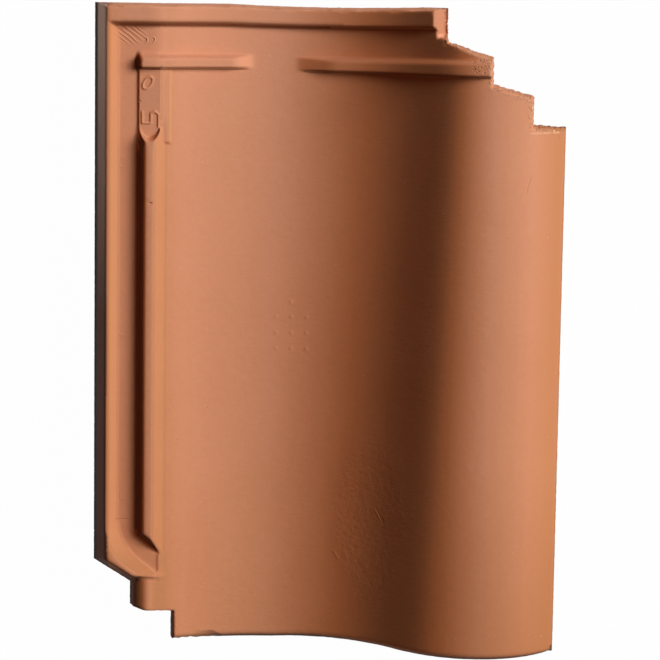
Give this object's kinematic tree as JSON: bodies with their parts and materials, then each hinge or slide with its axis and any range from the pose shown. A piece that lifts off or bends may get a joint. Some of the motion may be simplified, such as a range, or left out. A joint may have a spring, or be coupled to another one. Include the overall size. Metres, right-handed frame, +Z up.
{
  "type": "clay roof tile",
  "caption": "Interlocking single-roll pantile of fired clay, with a side lock along the left, a head lock, a stepped upper right corner and hanging nibs.",
  "frame": {"origin": "centre of the tile's outline, on the level that its nibs and foot rib rest on", "axes": "+X across the roof from the side lock to the roll, +Y up the slope to the head, +Z up off the roof"},
  "size_m": [0.25, 0.345, 0.0717],
  "materials": {
    "fired_clay": "unglazed natural red, matte"
  },
  "bodies": {
    "root": {"roof_tile": "fired_clay"}
  },
  "joints": []
}
